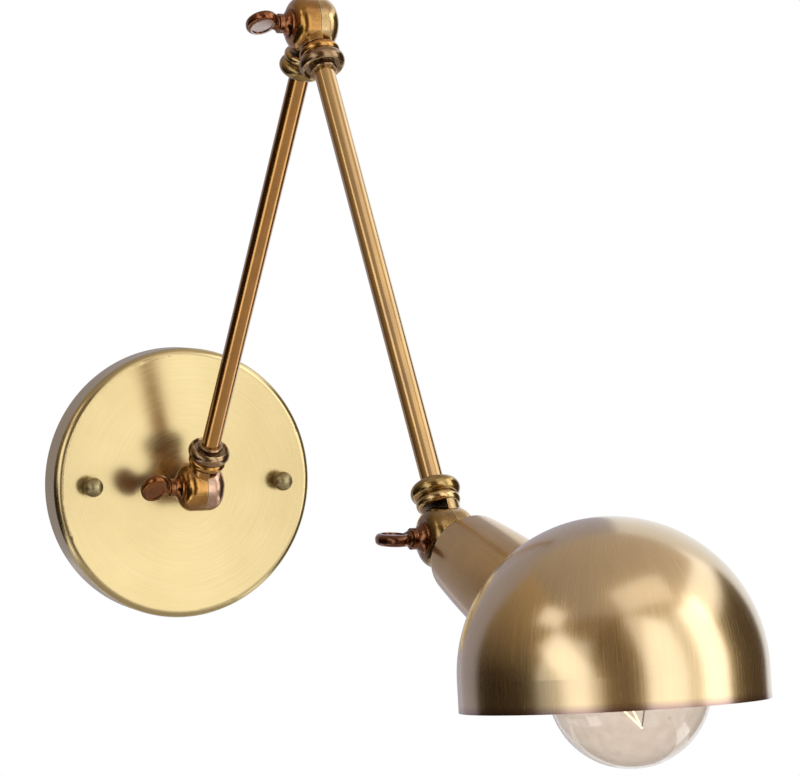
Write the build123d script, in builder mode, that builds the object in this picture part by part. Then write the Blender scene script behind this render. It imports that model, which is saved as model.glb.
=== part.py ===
# Swing-arm wall lamp: round wall plate, two equal arms on wing-screw knuckles, dome shade and clear bulb.
# Frame: origin at the plate's centre on the wall plane, +Z up, the room on the -Y side, millimetres.
import math
import os

from build123d import *

os.makedirs("parts", exist_ok=True)

# Wall plate, a shallow turned dish
PLATE_DIA = 140.0
PLATE_DEPTH = 18.0
PLATE_WALL = 1.5
PLATE_EDGE_R = 4.0

# Studs and ball nuts that hold the plate to its strap
STUD_SPACING = 104.0
STUD_DIA = 4.0
STUD_HEAD_DIA = 7.0
STUD_HEAD_THICK = 2.2
STUD_REACH = 6.0
STUD_NUT_ACROSS = 7.0
STUD_NUT_THICK = 3.2
BALL_NUT_DIA = 10.0
BALL_NUT_STAND = 6.0
BALL_NUT_SHANK_DIA = 7.0

# Steel strap on the wall, with raised ends
STRAP_LENGTH = 118.0
STRAP_WIDTH = 20.0
STRAP_THICK = 2.0
STRAP_LIFT = 3.0
STRAP_FLAT = 84.0
STRAP_RAMP = 4.0
WALL_SLOT_SPACING = 60.0
WALL_SLOT_WIDTH = 5.0
WALL_SLOT_LENGTH = 12.0
WIRE_HOLE_DIA = 16.0
EARTH_SCREW_DIA = 4.0
EARTH_HEAD_DIA = 7.0
EARTH_HEAD_THICK = 2.4
EARTH_SCREW_FROM_CENTRE = 16.0

# Stem of the lowest knuckle, its washer and nut behind the plate
STANDOFF = 40.0
THREAD_DIA = 10.0
THREAD_BORE = 6.0
THREAD_TAIL = 2.0
NUT_ACROSS = 14.0
NUT_THICK = 4.0
WASHER_DIA = 18.0
WASHER_THICK = 1.2

# Arms, as they stand in the photograph
ARM_LENGTH = 265.0
ARM_LEAN = 32.8
TUBE_DIA = 9.6
TUBE_WALL = 1.0

# Knuckles: a rounded barrel about the hinge, split near its middle into a screw half and a thread half
KNUCKLE_R = 12.5
KNUCKLE_END = 10.4
KNUCKLE_ROUND = 7.0
SEAT_ROUND = 5.6
SEAM_X = -0.5
SEAM_GAP = 0.3
SEAT_X = -11.0
NECK_R = 8.4
NECK_ROOT = 8.0
BOSS_GAP = 1.4
BOSS_LENGTH = 4.4
BOSS_R = 9.4
BOSS_FOOT_R = 7.6
BOSS_FLOOR = 1.0
COLLAR_BEAD_R = 10.6
COLLAR_BEAD_LENGTH = 6.6
COLLAR_FOOT_R = 8.3
COLLAR_RIM_R = 9.0
COLLAR_RECESS = 1.2
FERRULE_DIA = 12.4
FERRULE_STAND = 1.8
FERRULE_ROUND = 1.0
FRICTION_WASHER_DIA = 16.0
FRICTION_WASHER_THICK = 0.8
FRICTION_WASHER_RECESS = 0.55

# Wing screws
SCREW_DIA = 5.0
SCREW_ENGAGEMENT = 8.0
SCREW_SEAT_GAP = 0.1
FLANGE_DIA = 13.8
FLANGE_EDGE = 0.9
FLANGE_LENGTH = 4.0
FLANGE_TOP_DIA = 7.6
RING_DIA = 9.0
RING_LENGTH = 1.8
WING_NECK_DIA = 7.0
WING_START = 6.6
WING_LENGTH = 14.2
WING_WIDTH = 18.0
WING_THICK = 4.8
WING_EDGE_R = 2.0
WING_DISH_RIM = 2.6
WING_DISH_DEPTH = 0.5
BASE_WING_TURN = 44.0
ELBOW_WING_TURN = 22.0
SHADE_WING_TURN = 0.0

# Lamp holder cup
HOLDER_DROP = 15.0
CUP_START = 18.0
CUP_REAR_R = 17.8
CUP_SHOULDER_R = 5.5
CUP_MIDDLE = 48.0
CUP_MIDDLE_R = 19.9
CUP_FRONT_R = 21.0
CUP_WALL = 1.2

# Dome shade
SHADE_REACH = 144.2
SHADE_R = 57.6
SHADE_SKIRT = 11.9
SHADE_WALL = 1.0
SHADE_TIP = 7.7

# Lamp socket and the ring that clamps the shade on it
SOCKET_R = 15.5
SOCKET_BORE_R = 13.8
SOCKET_FRONT = 25.0
SOCKET_FLOOR = 10.0
SOCKET_BASE = 12.0
SOCKET_BOSS_R = 8.0
SOCKET_BOSS_LENGTH = 5.0
SOCKET_FLANGE_R = 18.0
SOCKET_FLANGE_THICK = 3.0
SHADE_RING_R = 20.0
SHADE_RING_THICK = 5.0
SHELL_WALL = 0.4
SHELL_SETBACK = 1.5
CONTACT_R = 3.0
CONTACT_THICK = 0.8

# Bulb
BULB_R = 30.0
BULB_LEAD_LENGTH = 12.7
BULB_TIP_TO_CENTRE = 78.0
BULB_GLASS = 0.8
BULB_NECK_R = 12.3
BULB_NECK_LENGTH = 7.0
BULB_CAP_R = 13.1
BULB_CAP_WALL = 0.6
BULB_CAP_LENGTH = 23.5
BULB_TIP_LENGTH = 3.5
BULB_TIP_R = 4.8
BULB_STEM_R = 2.2
BULB_STEM_FLARE_R = 9.0
BULB_STEM_FLARE_LENGTH = 16.0
FILAMENT_LEGS = 10
FILAMENT_HALF_LENGTH = 13.0
FILAMENT_NEAR_R = 7.5
FILAMENT_FAR_R = 11.0
FILAMENT_DIA = 0.7
FILAMENT_BEND_R = 0.42
SUPPORT_DIA = 0.6

# Clearances
FIT = 0.05
LOOSE = 0.3

# Directions and joint centres
X_DIR = Vector(1, 0, 0)
OUT_DIR = Vector(0, -1, 0)
WALL_DIR = Vector(0, 1, 0)


def lifted(degrees):
    """Unit vector in the arms' plane, so many degrees above straight out of the wall."""
    return Vector(0, -math.cos(math.radians(degrees)), math.sin(math.radians(degrees)))


ARM1_DIR = lifted(90 - ARM_LEAN)
ARM2_DIR = lifted(ARM_LEAN - 90)
HOLDER_DIR = lifted(-HOLDER_DROP)
SHADE_UP = lifted(90 + SHADE_TIP)
BASE = OUT_DIR * STANDOFF
ELBOW = BASE + ARM1_DIR * ARM_LENGTH
SHADE_JOINT = ELBOW + ARM2_DIR * ARM_LENGTH
SHADE_CENTRE = SHADE_JOINT + HOLDER_DIR * SHADE_REACH

# Faces worked out from the driving sizes
PLATE_R = PLATE_DIA / 2
TUBE_R = TUBE_DIA / 2
TUBE_BORE_R = TUBE_R - TUBE_WALL
TUBE_SOCKET_R = TUBE_R + FIT
THREAD_R = THREAD_DIA / 2
SCREW_R = SCREW_DIA / 2
SCREW_FACE = SEAM_X - SEAM_GAP / 2
THREAD_FACE = SEAM_X + SEAM_GAP / 2
SCREW_END = THREAD_FACE + SCREW_ENGAGEMENT
BOSS_START = KNUCKLE_R + BOSS_GAP
NECK_SWING = BOSS_START + LOOSE
NIPPLE_START = NECK_SWING + FIT
COLLAR_START = BOSS_START + BOSS_LENGTH
TUBE_SEAT = BOSS_START + BOSS_FLOOR
STEM_LENGTH = STANDOFF - PLATE_DEPTH
STEM_THREAD = PLATE_WALL + WASHER_THICK + NUT_THICK + THREAD_TAIL
BULB_CENTRE = SHADE_REACH + BULB_LEAD_LENGTH
BULB_TIP = BULB_CENTRE - BULB_TIP_TO_CENTRE
SHADE_HOLE_R = SOCKET_R + LOOSE


def turning_plane(origin, direction):
    """Plane of a turned piece's half section: local X is the radius, local Y runs along the axis."""
    radius = Vector(0, 0, 1) if abs(direction.X) > 0.5 else X_DIR
    return Plane(origin=origin, x_dir=radius, z_dir=radius.cross(direction))


def cross_plane(origin, direction, distance=0.0):
    """Plane square to an axis, at a distance along it, with local X along the hinge axis."""
    return Plane(origin=origin + direction * distance, x_dir=X_DIR, z_dir=direction)


def turn(points, origin, direction, mode=Mode.ADD):
    """Turn a straight-sided half section about an axis, in the part that is being built."""
    with BuildSketch(turning_plane(origin, direction)) as section:
        with BuildLine():
            Polyline(*points, close=True)
        make_face()
    revolve(section.sketch, axis=Axis(origin, direction), mode=mode)


def rod(origin, direction, start, end, radius, mode=Mode.ADD):
    """Round bar between two distances along an axis, added to or cut from the part being built."""
    with BuildSketch(Plane(origin=origin + direction * start, z_dir=direction)) as section:
        Circle(radius)
    extrude(section.sketch, amount=end - start, mode=mode)


def keep(part, name):
    part.label = name
    export_step(part, f"parts/{name}.step")


def sphere_reach(radius, offset):
    """Half length of a chord's place: how far a sphere's face stands out at this offset from its axis."""
    return math.sqrt(radius**2 - offset**2)


# Wall plate: a shallow dish with a rounded front edge, open at the back
with BuildPart() as wall_plate:
    with BuildSketch(Plane.XZ) as plate_outline:
        Circle(PLATE_R)
    extrude(amount=PLATE_DEPTH)
    fillet(wall_plate.edges().group_by(Axis.Y)[0], radius=PLATE_EDGE_R)
    offset(amount=-PLATE_WALL, openings=wall_plate.faces().sort_by(Axis.Y)[-1])
    rod(Vector(0, 0, 0), OUT_DIR, 0, PLATE_DEPTH, THREAD_R + LOOSE, Mode.SUBTRACT)
    for side in (-1, 1):
        stud_line = Vector(side * STUD_SPACING / 2, 0, 0)
        rod(stud_line, OUT_DIR, 0, PLATE_DEPTH, STUD_DIA / 2 + LOOSE, Mode.SUBTRACT)
keep(wall_plate.part, "wall_plate")

# Mounting strap: flat on the wall in the middle, with both ends lifted off it
RAMP_START = STRAP_FLAT / 2
RAMP_END = RAMP_START + STRAP_RAMP
STRAP_END = STRAP_LENGTH / 2
with BuildPart() as mounting_strap:
    with BuildSketch(Plane.XY.offset(-STRAP_WIDTH / 2)) as strap_side:
        with BuildLine():
            near_wall = [(RAMP_START, 0), (RAMP_END, -STRAP_LIFT), (STRAP_END, -STRAP_LIFT)]
            off_wall = [(x, y - STRAP_THICK) for x, y in reversed(near_wall)]
            half = near_wall + off_wall
            Polyline(*half, *[(-x, y) for x, y in reversed(half)], close=True)
        make_face()
    extrude(amount=STRAP_WIDTH)
    rod(Vector(0, 0, 0), OUT_DIR, 0, STRAP_THICK, WIRE_HOLE_DIA / 2, Mode.SUBTRACT)
    with BuildSketch(Plane.XZ) as wall_slots:
        with GridLocations(WALL_SLOT_SPACING, 0, 2, 1):
            SlotOverall(WALL_SLOT_LENGTH, WALL_SLOT_WIDTH)
    extrude(amount=STRAP_THICK, mode=Mode.SUBTRACT)
    for side in (-1, 1):
        stud_line = Vector(side * STUD_SPACING / 2, 0, 0)
        rod(stud_line, OUT_DIR, 0, STRAP_LIFT + STRAP_THICK, STUD_DIA / 2 + FIT, Mode.SUBTRACT)
    earth_line = X_DIR * EARTH_SCREW_FROM_CENTRE
    rod(earth_line, OUT_DIR, 0, STRAP_THICK, EARTH_SCREW_DIA / 2 + FIT, Mode.SUBTRACT)
keep(mounting_strap.part, "mounting_strap")

# Earth screw: a pan head on the strap's middle
with BuildPart() as earth_screw:
    turn(
        [
            (0, LOOSE),
            (EARTH_SCREW_DIA / 2, LOOSE),
            (EARTH_SCREW_DIA / 2, STRAP_THICK),
            (EARTH_HEAD_DIA / 2, STRAP_THICK),
            (EARTH_HEAD_DIA / 2, STRAP_THICK + EARTH_HEAD_THICK / 2),
            (EARTH_HEAD_DIA / 3, STRAP_THICK + EARTH_HEAD_THICK),
            (0, STRAP_THICK + EARTH_HEAD_THICK),
        ],
        earth_line,
        OUT_DIR,
    )
keep(earth_screw.part, "earth_screw")

# Plate studs: heads behind the strap's lifted ends, threads out through the plate
STUD_SEAT = STRAP_LIFT
STUD_END = PLATE_DEPTH + STUD_REACH
with BuildPart() as plate_studs:
    for side in (-1, 1):
        stud_line = Vector(side * STUD_SPACING / 2, 0, 0)
        rod(stud_line, OUT_DIR, STUD_SEAT - STUD_HEAD_THICK, STUD_SEAT, STUD_HEAD_DIA / 2)
        rod(stud_line, OUT_DIR, STUD_SEAT, STUD_END, STUD_DIA / 2)
keep(plate_studs.part, "plate_studs")

# Stud nuts: they lock the studs to the strap
with BuildPart() as stud_nuts:
    with BuildSketch(Plane.XZ.offset(STRAP_LIFT + STRAP_THICK)) as stud_nut_outline:
        with GridLocations(STUD_SPACING, 0, 2, 1):
            RegularPolygon(STUD_NUT_ACROSS / 2, 6, major_radius=False)
            Circle(STUD_DIA / 2 + FIT, mode=Mode.SUBTRACT)
    extrude(amount=STUD_NUT_THICK)
keep(stud_nuts.part, "stud_nuts")

# Ball nuts: a ball on a short shank, blind-tapped for the stud
BALL_R = BALL_NUT_DIA / 2
BALL_SHANK_R = BALL_NUT_SHANK_DIA / 2
BALL_CENTRE = PLATE_DEPTH + BALL_NUT_STAND
BALL_FOOT = BALL_CENTRE - sphere_reach(BALL_R, BALL_SHANK_R)
with BuildPart() as ball_nuts:
    for side in (-1, 1):
        stud_line = Vector(side * STUD_SPACING / 2, 0, 0)
        with BuildSketch(turning_plane(stud_line, OUT_DIR)) as ball_section:
            with BuildLine():
                Polyline(
                    (0, BALL_CENTRE + BALL_R),
                    (0, PLATE_DEPTH),
                    (BALL_SHANK_R, PLATE_DEPTH),
                    (BALL_SHANK_R, BALL_FOOT),
                )
                ThreePointArc((BALL_SHANK_R, BALL_FOOT), (BALL_R, BALL_CENTRE), (0, BALL_CENTRE + BALL_R))
            make_face()
        revolve(ball_section.sketch, axis=Axis(stud_line, OUT_DIR))
        rod(stud_line, OUT_DIR, PLATE_DEPTH, STUD_END + LOOSE, STUD_DIA / 2 + FIT, Mode.SUBTRACT)
keep(ball_nuts.part, "ball_nuts")

# Washer and hexagon nut on the stem's thread, behind the plate
with BuildPart() as stem_washer:
    with BuildSketch(Plane.XZ.offset(PLATE_DEPTH - PLATE_WALL)) as stem_washer_outline:
        Circle(WASHER_DIA / 2)
        Circle(THREAD_R + LOOSE, mode=Mode.SUBTRACT)
    extrude(amount=-WASHER_THICK)
keep(stem_washer.part, "stem_washer")

with BuildPart() as stem_nut:
    with BuildSketch(Plane.XZ.offset(PLATE_DEPTH - PLATE_WALL - WASHER_THICK)) as stem_nut_outline:
        RegularPolygon(NUT_ACROSS / 2, 6, major_radius=False)
        Circle(THREAD_R + FIT, mode=Mode.SUBTRACT)
    extrude(amount=-NUT_THICK)
keep(stem_nut.part, "stem_nut")


def barrel(centre, seam_x, end_x, edge_r):
    """Half of the knuckle's barrel about the hinge, from the seam to an end with a rounded edge."""
    inward = math.copysign(1, seam_x - end_x)
    side = (KNUCKLE_R, end_x + inward * edge_r)
    face = (KNUCKLE_R - edge_r, end_x)
    cut = edge_r * (1 - math.sqrt(0.5))
    with BuildSketch(turning_plane(centre, X_DIR)) as section:
        with BuildLine():
            Polyline(face, (0, end_x), (0, seam_x), (KNUCKLE_R, seam_x), side)
            ThreePointArc(side, (KNUCKLE_R - cut, end_x + inward * cut), face)
        make_face()
    revolve(section.sketch, axis=Axis(centre, X_DIR))


def half_neck(centre, direction, near_x, far_x, end):
    """Half-round neck on one side of the seam, from the barrel outwards."""
    with BuildSketch(cross_plane(centre, direction, NECK_ROOT)) as section:
        Circle(NECK_R)
        with Locations(((near_x + far_x) / 2, 0)):
            Rectangle(far_x - near_x, 2 * NECK_R, mode=Mode.INTERSECT)
    extrude(section.sketch, amount=end - NECK_ROOT)


def screw_half(centre, direction, neck_end):
    """Half under the wing screw's head: its clearance hole, and the friction washer's recess in the seam."""
    barrel(centre, SCREW_FACE, SEAT_X, SEAT_ROUND)
    half_neck(centre, direction, -NECK_R, SCREW_FACE, neck_end)
    rod(centre, X_DIR, SEAT_X, SCREW_FACE, SCREW_R + FIT, Mode.SUBTRACT)
    recess_r = FRICTION_WASHER_DIA / 2 + FIT
    rod(centre, X_DIR, SCREW_FACE - FRICTION_WASHER_RECESS, SCREW_FACE, recess_r, Mode.SUBTRACT)


def thread_half(centre, direction, neck_end):
    """Half that takes the wing screw's thread, in a blind hole."""
    barrel(centre, THREAD_FACE, KNUCKLE_END, KNUCKLE_ROUND)
    half_neck(centre, direction, THREAD_FACE, NECK_R, neck_end)
    rod(centre, X_DIR, THREAD_FACE, SCREW_END + LOOSE, SCREW_R + FIT, Mode.SUBTRACT)


def boss(centre, direction):
    """Round bead that takes the arm's tube, at the end of a half's neck."""
    top = (COLLAR_FOOT_R, COLLAR_START)
    foot = (BOSS_FOOT_R, BOSS_START)
    with BuildSketch(turning_plane(centre, direction)) as section:
        with BuildLine():
            Polyline(top, (0, COLLAR_START), (0, BOSS_START), foot)
            ThreePointArc(foot, (BOSS_R, (BOSS_START + COLLAR_START) / 2), top)
        make_face()
    revolve(section.sketch, axis=Axis(centre, direction))
    rod(centre, direction, TUBE_SEAT, COLLAR_START, TUBE_SOCKET_R, Mode.SUBTRACT)


# Lowest knuckle: the thread half stands on the plate by its stem, the screw half carries the first arm
with BuildPart() as base_thread_half:
    thread_half(BASE, WALL_DIR, NECK_SWING)
    rod(BASE, WALL_DIR, NECK_SWING, STEM_LENGTH, NECK_R)
    rod(BASE, WALL_DIR, STEM_LENGTH, STEM_LENGTH + STEM_THREAD, THREAD_R)
    rod(BASE, WALL_DIR, NECK_SWING + FIT, STEM_LENGTH + STEM_THREAD, THREAD_BORE / 2, Mode.SUBTRACT)
keep(base_thread_half.part, "base_thread_half")

with BuildPart() as base_screw_half:
    screw_half(BASE, ARM1_DIR, BOSS_START)
    boss(BASE, ARM1_DIR)
keep(base_screw_half.part, "base_screw_half")

# Elbow: the thread half is on top of the first arm, the screw half carries the second
with BuildPart() as elbow_thread_half:
    thread_half(ELBOW, -ARM1_DIR, BOSS_START)
    boss(ELBOW, -ARM1_DIR)
keep(elbow_thread_half.part, "elbow_thread_half")

with BuildPart() as elbow_screw_half:
    screw_half(ELBOW, ARM2_DIR, BOSS_START)
    boss(ELBOW, ARM2_DIR)
keep(elbow_screw_half.part, "elbow_screw_half")

# Shade knuckle: the thread half ends the second arm, the screw half's neck carries the lamp holder cup
with BuildPart() as shade_thread_half:
    thread_half(SHADE_JOINT, -ARM2_DIR, BOSS_START)
    boss(SHADE_JOINT, -ARM2_DIR)
keep(shade_thread_half.part, "shade_thread_half")

with BuildPart() as shade_screw_half:
    screw_half(SHADE_JOINT, HOLDER_DIR, NECK_SWING)
    rod(SHADE_JOINT, HOLDER_DIR, NECK_SWING, CUP_START, NECK_R)
    rod(SHADE_JOINT, HOLDER_DIR, NIPPLE_START, CUP_START, THREAD_R + FIT, Mode.SUBTRACT)
keep(shade_screw_half.part, "shade_screw_half")


def friction_washer(centre):
    """Thin washer in the screw half's recess, just proud of the seam."""
    floor = SCREW_FACE - FRICTION_WASHER_RECESS
    with BuildPart() as washer:
        rod(centre, X_DIR, floor, floor + FRICTION_WASHER_THICK, FRICTION_WASHER_DIA / 2)
        rod(centre, X_DIR, floor, floor + FRICTION_WASHER_THICK, SCREW_R + FIT, Mode.SUBTRACT)
    return washer.part


def collar(centre, direction):
    """Turned collar over the tube: a large bead with a dished end and a small round ferrule."""
    bead_end = COLLAR_START + COLLAR_BEAD_LENGTH
    dish = bead_end - COLLAR_RECESS
    end = bead_end + FERRULE_STAND
    rim = (COLLAR_RIM_R, bead_end)
    foot = (COLLAR_FOOT_R, COLLAR_START)
    ferrule_side = (FERRULE_DIA / 2, end - FERRULE_ROUND)
    ferrule_top = (FERRULE_DIA / 2 - FERRULE_ROUND, end)
    with BuildPart() as ring:
        with BuildSketch(turning_plane(centre, direction)) as section:
            with BuildLine():
                ThreePointArc(foot, (COLLAR_BEAD_R, COLLAR_START + COLLAR_BEAD_LENGTH / 2), rim)
                Polyline(rim, (COLLAR_RIM_R - COLLAR_RECESS, dish), (FERRULE_DIA / 2, dish), ferrule_side)
                RadiusArc(ferrule_side, ferrule_top, -FERRULE_ROUND)
                Polyline(ferrule_top, (TUBE_SOCKET_R, end), (TUBE_SOCKET_R, COLLAR_START), foot)
            make_face()
        revolve(section.sketch, axis=Axis(centre, direction))
    return ring.part


def arm_tube(centre, direction):
    """Thin brass tube from one knuckle's bead to the next."""
    with BuildPart() as tube:
        with BuildSketch(cross_plane(centre, direction, TUBE_SEAT)) as section:
            Circle(TUBE_R)
            Circle(TUBE_BORE_R, mode=Mode.SUBTRACT)
        extrude(section.sketch, amount=ARM_LENGTH - 2 * TUBE_SEAT)
    return tube.part


def wing_screw(centre, turned):
    """Clamp screw: shank along the hinge, trumpet flange on the knuckle's seat, and an oval wing."""
    seat = SEAT_X - SCREW_SEAT_GAP
    flange_end = seat - FLANGE_LENGTH
    ring_end = flange_end - RING_LENGTH
    wing_middle = seat - WING_START - WING_LENGTH / 2
    edge = (FLANGE_DIA / 2, seat - FLANGE_EDGE)
    top = (FLANGE_TOP_DIA / 2, flange_end)
    waist = ((edge[0] + 2 * top[0]) / 3, (edge[1] + top[1]) / 2)
    face = Vector(0, -math.sin(math.radians(turned)), -math.cos(math.radians(turned)))
    wing_plane = Plane(origin=centre + X_DIR * wing_middle, x_dir=X_DIR, z_dir=face)
    with BuildPart() as wing:
        with BuildSketch(wing_plane) as outline:
            Ellipse(WING_LENGTH / 2, WING_WIDTH / 2)
        extrude(outline.sketch, amount=WING_THICK / 2, both=True)
        fillet(wing.edges(), radius=WING_EDGE_R)
        for outward in (face, -face):
            dish_middle = wing_plane.origin + outward * WING_THICK / 2
            with BuildSketch(Plane(origin=dish_middle, x_dir=X_DIR, z_dir=outward)) as dish:
                Ellipse(WING_LENGTH / 2 - WING_DISH_RIM, WING_WIDTH / 2 - WING_DISH_RIM)
            extrude(dish.sketch, amount=-WING_DISH_DEPTH, mode=Mode.SUBTRACT)
        with BuildSketch(turning_plane(centre, X_DIR)) as shank:
            with BuildLine():
                Polyline(
                    top,
                    (RING_DIA / 2, flange_end),
                    (RING_DIA / 2, ring_end),
                    (WING_NECK_DIA / 2, ring_end),
                    (WING_NECK_DIA / 2, seat - WING_START),
                    (WING_THICK / 2, seat - WING_START - WING_DISH_RIM),
                    (0, seat - WING_START - WING_DISH_RIM),
                    (0, SCREW_END),
                    (SCREW_R, SCREW_END),
                    (SCREW_R, seat),
                    (FLANGE_DIA / 2, seat),
                    edge,
                )
                ThreePointArc(edge, waist, top)
            make_face()
        revolve(shank.sketch, axis=Axis(centre, X_DIR))
    return wing.part


knuckles = {
    "base": (BASE, BASE_WING_TURN),
    "elbow": (ELBOW, ELBOW_WING_TURN),
    "shade": (SHADE_JOINT, SHADE_WING_TURN),
}
for joint, (centre, turned) in knuckles.items():
    keep(friction_washer(centre), f"{joint}_friction_washer")
    keep(wing_screw(centre, turned), f"{joint}_wing_screw")

# Arms: each is a tube with a collar at both ends
arms = {"arm1": (BASE, ELBOW, ARM1_DIR), "arm2": (ELBOW, SHADE_JOINT, ARM2_DIR)}
for arm, (near_end, far_end, direction) in arms.items():
    keep(arm_tube(near_end, direction), f"{arm}_tube")
    keep(collar(near_end, direction), f"{arm}_near_collar")
    keep(collar(far_end, -direction), f"{arm}_far_collar")

# Lamp holder cup: a turned cup with a round shoulder, whose mouth meets the shade
CUP_SIDE = CUP_START + CUP_SHOULDER_R
CUP_END = SHADE_REACH - sphere_reach(SHADE_R, CUP_FRONT_R - CUP_WALL)
SHOULDER_R = CUP_REAR_R - CUP_SHOULDER_R
SHOULDER_45 = math.sqrt(0.5)
with BuildPart() as holder_cup:
    with BuildSketch(turning_plane(SHADE_JOINT, HOLDER_DIR)) as cup_section:
        with BuildLine():
            Line((THREAD_R + FIT, CUP_START), (SHOULDER_R, CUP_START))
            ThreePointArc(
                (SHOULDER_R, CUP_START),
                (SHOULDER_R + CUP_SHOULDER_R * SHOULDER_45, CUP_SIDE - CUP_SHOULDER_R * SHOULDER_45),
                (CUP_REAR_R, CUP_SIDE),
            )
            ThreePointArc((CUP_REAR_R, CUP_SIDE), (CUP_MIDDLE_R, CUP_MIDDLE), (CUP_FRONT_R, CUP_END))
            Line((CUP_FRONT_R, CUP_END), (CUP_FRONT_R - CUP_WALL, CUP_END))
            ThreePointArc(
                (CUP_FRONT_R - CUP_WALL, CUP_END),
                (CUP_MIDDLE_R - CUP_WALL, CUP_MIDDLE),
                (CUP_REAR_R - CUP_WALL, CUP_SIDE),
            )
            inner_shoulder = CUP_SHOULDER_R - CUP_WALL
            ThreePointArc(
                (CUP_REAR_R - CUP_WALL, CUP_SIDE),
                (SHOULDER_R + inner_shoulder * SHOULDER_45, CUP_SIDE - inner_shoulder * SHOULDER_45),
                (SHOULDER_R, CUP_START + CUP_WALL),
            )
            Polyline(
                (SHOULDER_R, CUP_START + CUP_WALL),
                (THREAD_R + FIT, CUP_START + CUP_WALL),
                (THREAD_R + FIT, CUP_START),
            )
        make_face()
    revolve(cup_section.sketch, axis=Axis(SHADE_JOINT, HOLDER_DIR))
keep(holder_cup.part, "holder_cup")

# Threaded nipple: joins the knuckle's neck, the cup and the socket
FLOOR = BULB_TIP - SOCKET_FLOOR
SOCKET_REAR = FLOOR - SOCKET_BASE
NIPPLE_END = SOCKET_REAR
with BuildPart() as holder_nipple:
    rod(SHADE_JOINT, HOLDER_DIR, NIPPLE_START, NIPPLE_END, THREAD_R)
    rod(SHADE_JOINT, HOLDER_DIR, NIPPLE_START, NIPPLE_END, THREAD_BORE / 2, Mode.SUBTRACT)
keep(holder_nipple.part, "holder_nipple")

# Nut that clamps the cup on the nipple
with BuildPart() as holder_nut:
    with BuildSketch(cross_plane(SHADE_JOINT, HOLDER_DIR, CUP_START + CUP_WALL)) as holder_nut_outline:
        RegularPolygon(NUT_ACROSS / 2, 6, major_radius=False)
        Circle(THREAD_R + FIT, mode=Mode.SUBTRACT)
    extrude(amount=NUT_THICK)
keep(holder_nut.part, "holder_nut")

# Lamp socket: a ceramic cup on the nipple, with a flange behind the shade
SHADE_BACK = SHADE_REACH - sphere_reach(SHADE_R, SHADE_HOLE_R)
SOCKET_MOUTH = BULB_TIP + SOCKET_FRONT
with BuildPart() as lamp_socket:
    turn(
        [
            (THREAD_R + FIT, SOCKET_REAR - SOCKET_BOSS_LENGTH),
            (SOCKET_BOSS_R, SOCKET_REAR - SOCKET_BOSS_LENGTH),
            (SOCKET_BOSS_R, SOCKET_REAR),
            (SOCKET_R, SOCKET_REAR),
            (SOCKET_R, SHADE_BACK - SOCKET_FLANGE_THICK),
            (SOCKET_FLANGE_R, SHADE_BACK - SOCKET_FLANGE_THICK),
            (SOCKET_FLANGE_R, SHADE_BACK),
            (SOCKET_R, SHADE_BACK),
            (SOCKET_R, SOCKET_MOUTH),
            (SOCKET_BORE_R, SOCKET_MOUTH),
            (SOCKET_BORE_R, FLOOR),
            (THREAD_BORE / 2, FLOOR),
            (THREAD_BORE / 2, SOCKET_REAR),
            (THREAD_R + FIT, SOCKET_REAR),
        ],
        SHADE_JOINT,
        HOLDER_DIR,
    )
keep(lamp_socket.part, "lamp_socket")

# Screw shell and centre contact inside the socket
SHELL_R = SOCKET_BORE_R - FIT
with BuildPart() as socket_shell:
    rod(SHADE_JOINT, HOLDER_DIR, FLOOR, SOCKET_MOUTH - SHELL_SETBACK, SHELL_R)
    rod(SHADE_JOINT, HOLDER_DIR, FLOOR, SOCKET_MOUTH - SHELL_SETBACK, SHELL_R - SHELL_WALL, Mode.SUBTRACT)
keep(socket_shell.part, "socket_shell")

with BuildPart() as socket_contact:
    turn(
        [
            (THREAD_BORE / 2, FLOOR),
            (SHELL_R - SHELL_WALL - CONTACT_R, FLOOR),
            (SHELL_R - SHELL_WALL - CONTACT_R, FLOOR + CONTACT_THICK),
            (CONTACT_R, BULB_TIP - FIT),
            (0, BULB_TIP - FIT),
            (0, BULB_TIP - FIT - CONTACT_THICK),
            (THREAD_BORE / 2, FLOOR + CONTACT_THICK),
        ],
        SHADE_JOINT,
        HOLDER_DIR,
    )
keep(socket_contact.part, "socket_contact")

# Dome shade: a hemisphere with a short skirt, holed for the socket
INNER_R = SHADE_R - SHADE_WALL
with BuildPart() as dome_shade:
    with BuildSketch(turning_plane(SHADE_CENTRE, SHADE_UP)) as shade_section:
        with BuildLine():
            ThreePointArc((0, SHADE_R), (SHADE_R * SHOULDER_45, SHADE_R * SHOULDER_45), (SHADE_R, 0))
            Polyline((SHADE_R, 0), (SHADE_R, -SHADE_SKIRT), (INNER_R, -SHADE_SKIRT), (INNER_R, 0))
            ThreePointArc((INNER_R, 0), (INNER_R * SHOULDER_45, INNER_R * SHOULDER_45), (0, INNER_R))
            Line((0, INNER_R), (0, SHADE_R))
        make_face()
    revolve(shade_section.sketch, axis=Axis(SHADE_CENTRE, SHADE_UP))
    rod(SHADE_CENTRE, -HOLDER_DIR, 0, SHADE_R, SHADE_HOLE_R, Mode.SUBTRACT)
keep(dome_shade.part, "dome_shade")

# Ring nut inside the shade, on the socket's front
RING_START = SHADE_REACH - sphere_reach(INNER_R, SHADE_RING_R)
with BuildPart() as shade_ring:
    rod(SHADE_JOINT, HOLDER_DIR, RING_START, RING_START + SHADE_RING_THICK, SHADE_RING_R)
    rod(SHADE_JOINT, HOLDER_DIR, RING_START, RING_START + SHADE_RING_THICK, SOCKET_R + FIT, Mode.SUBTRACT)
keep(shade_ring.part, "shade_ring")

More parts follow.
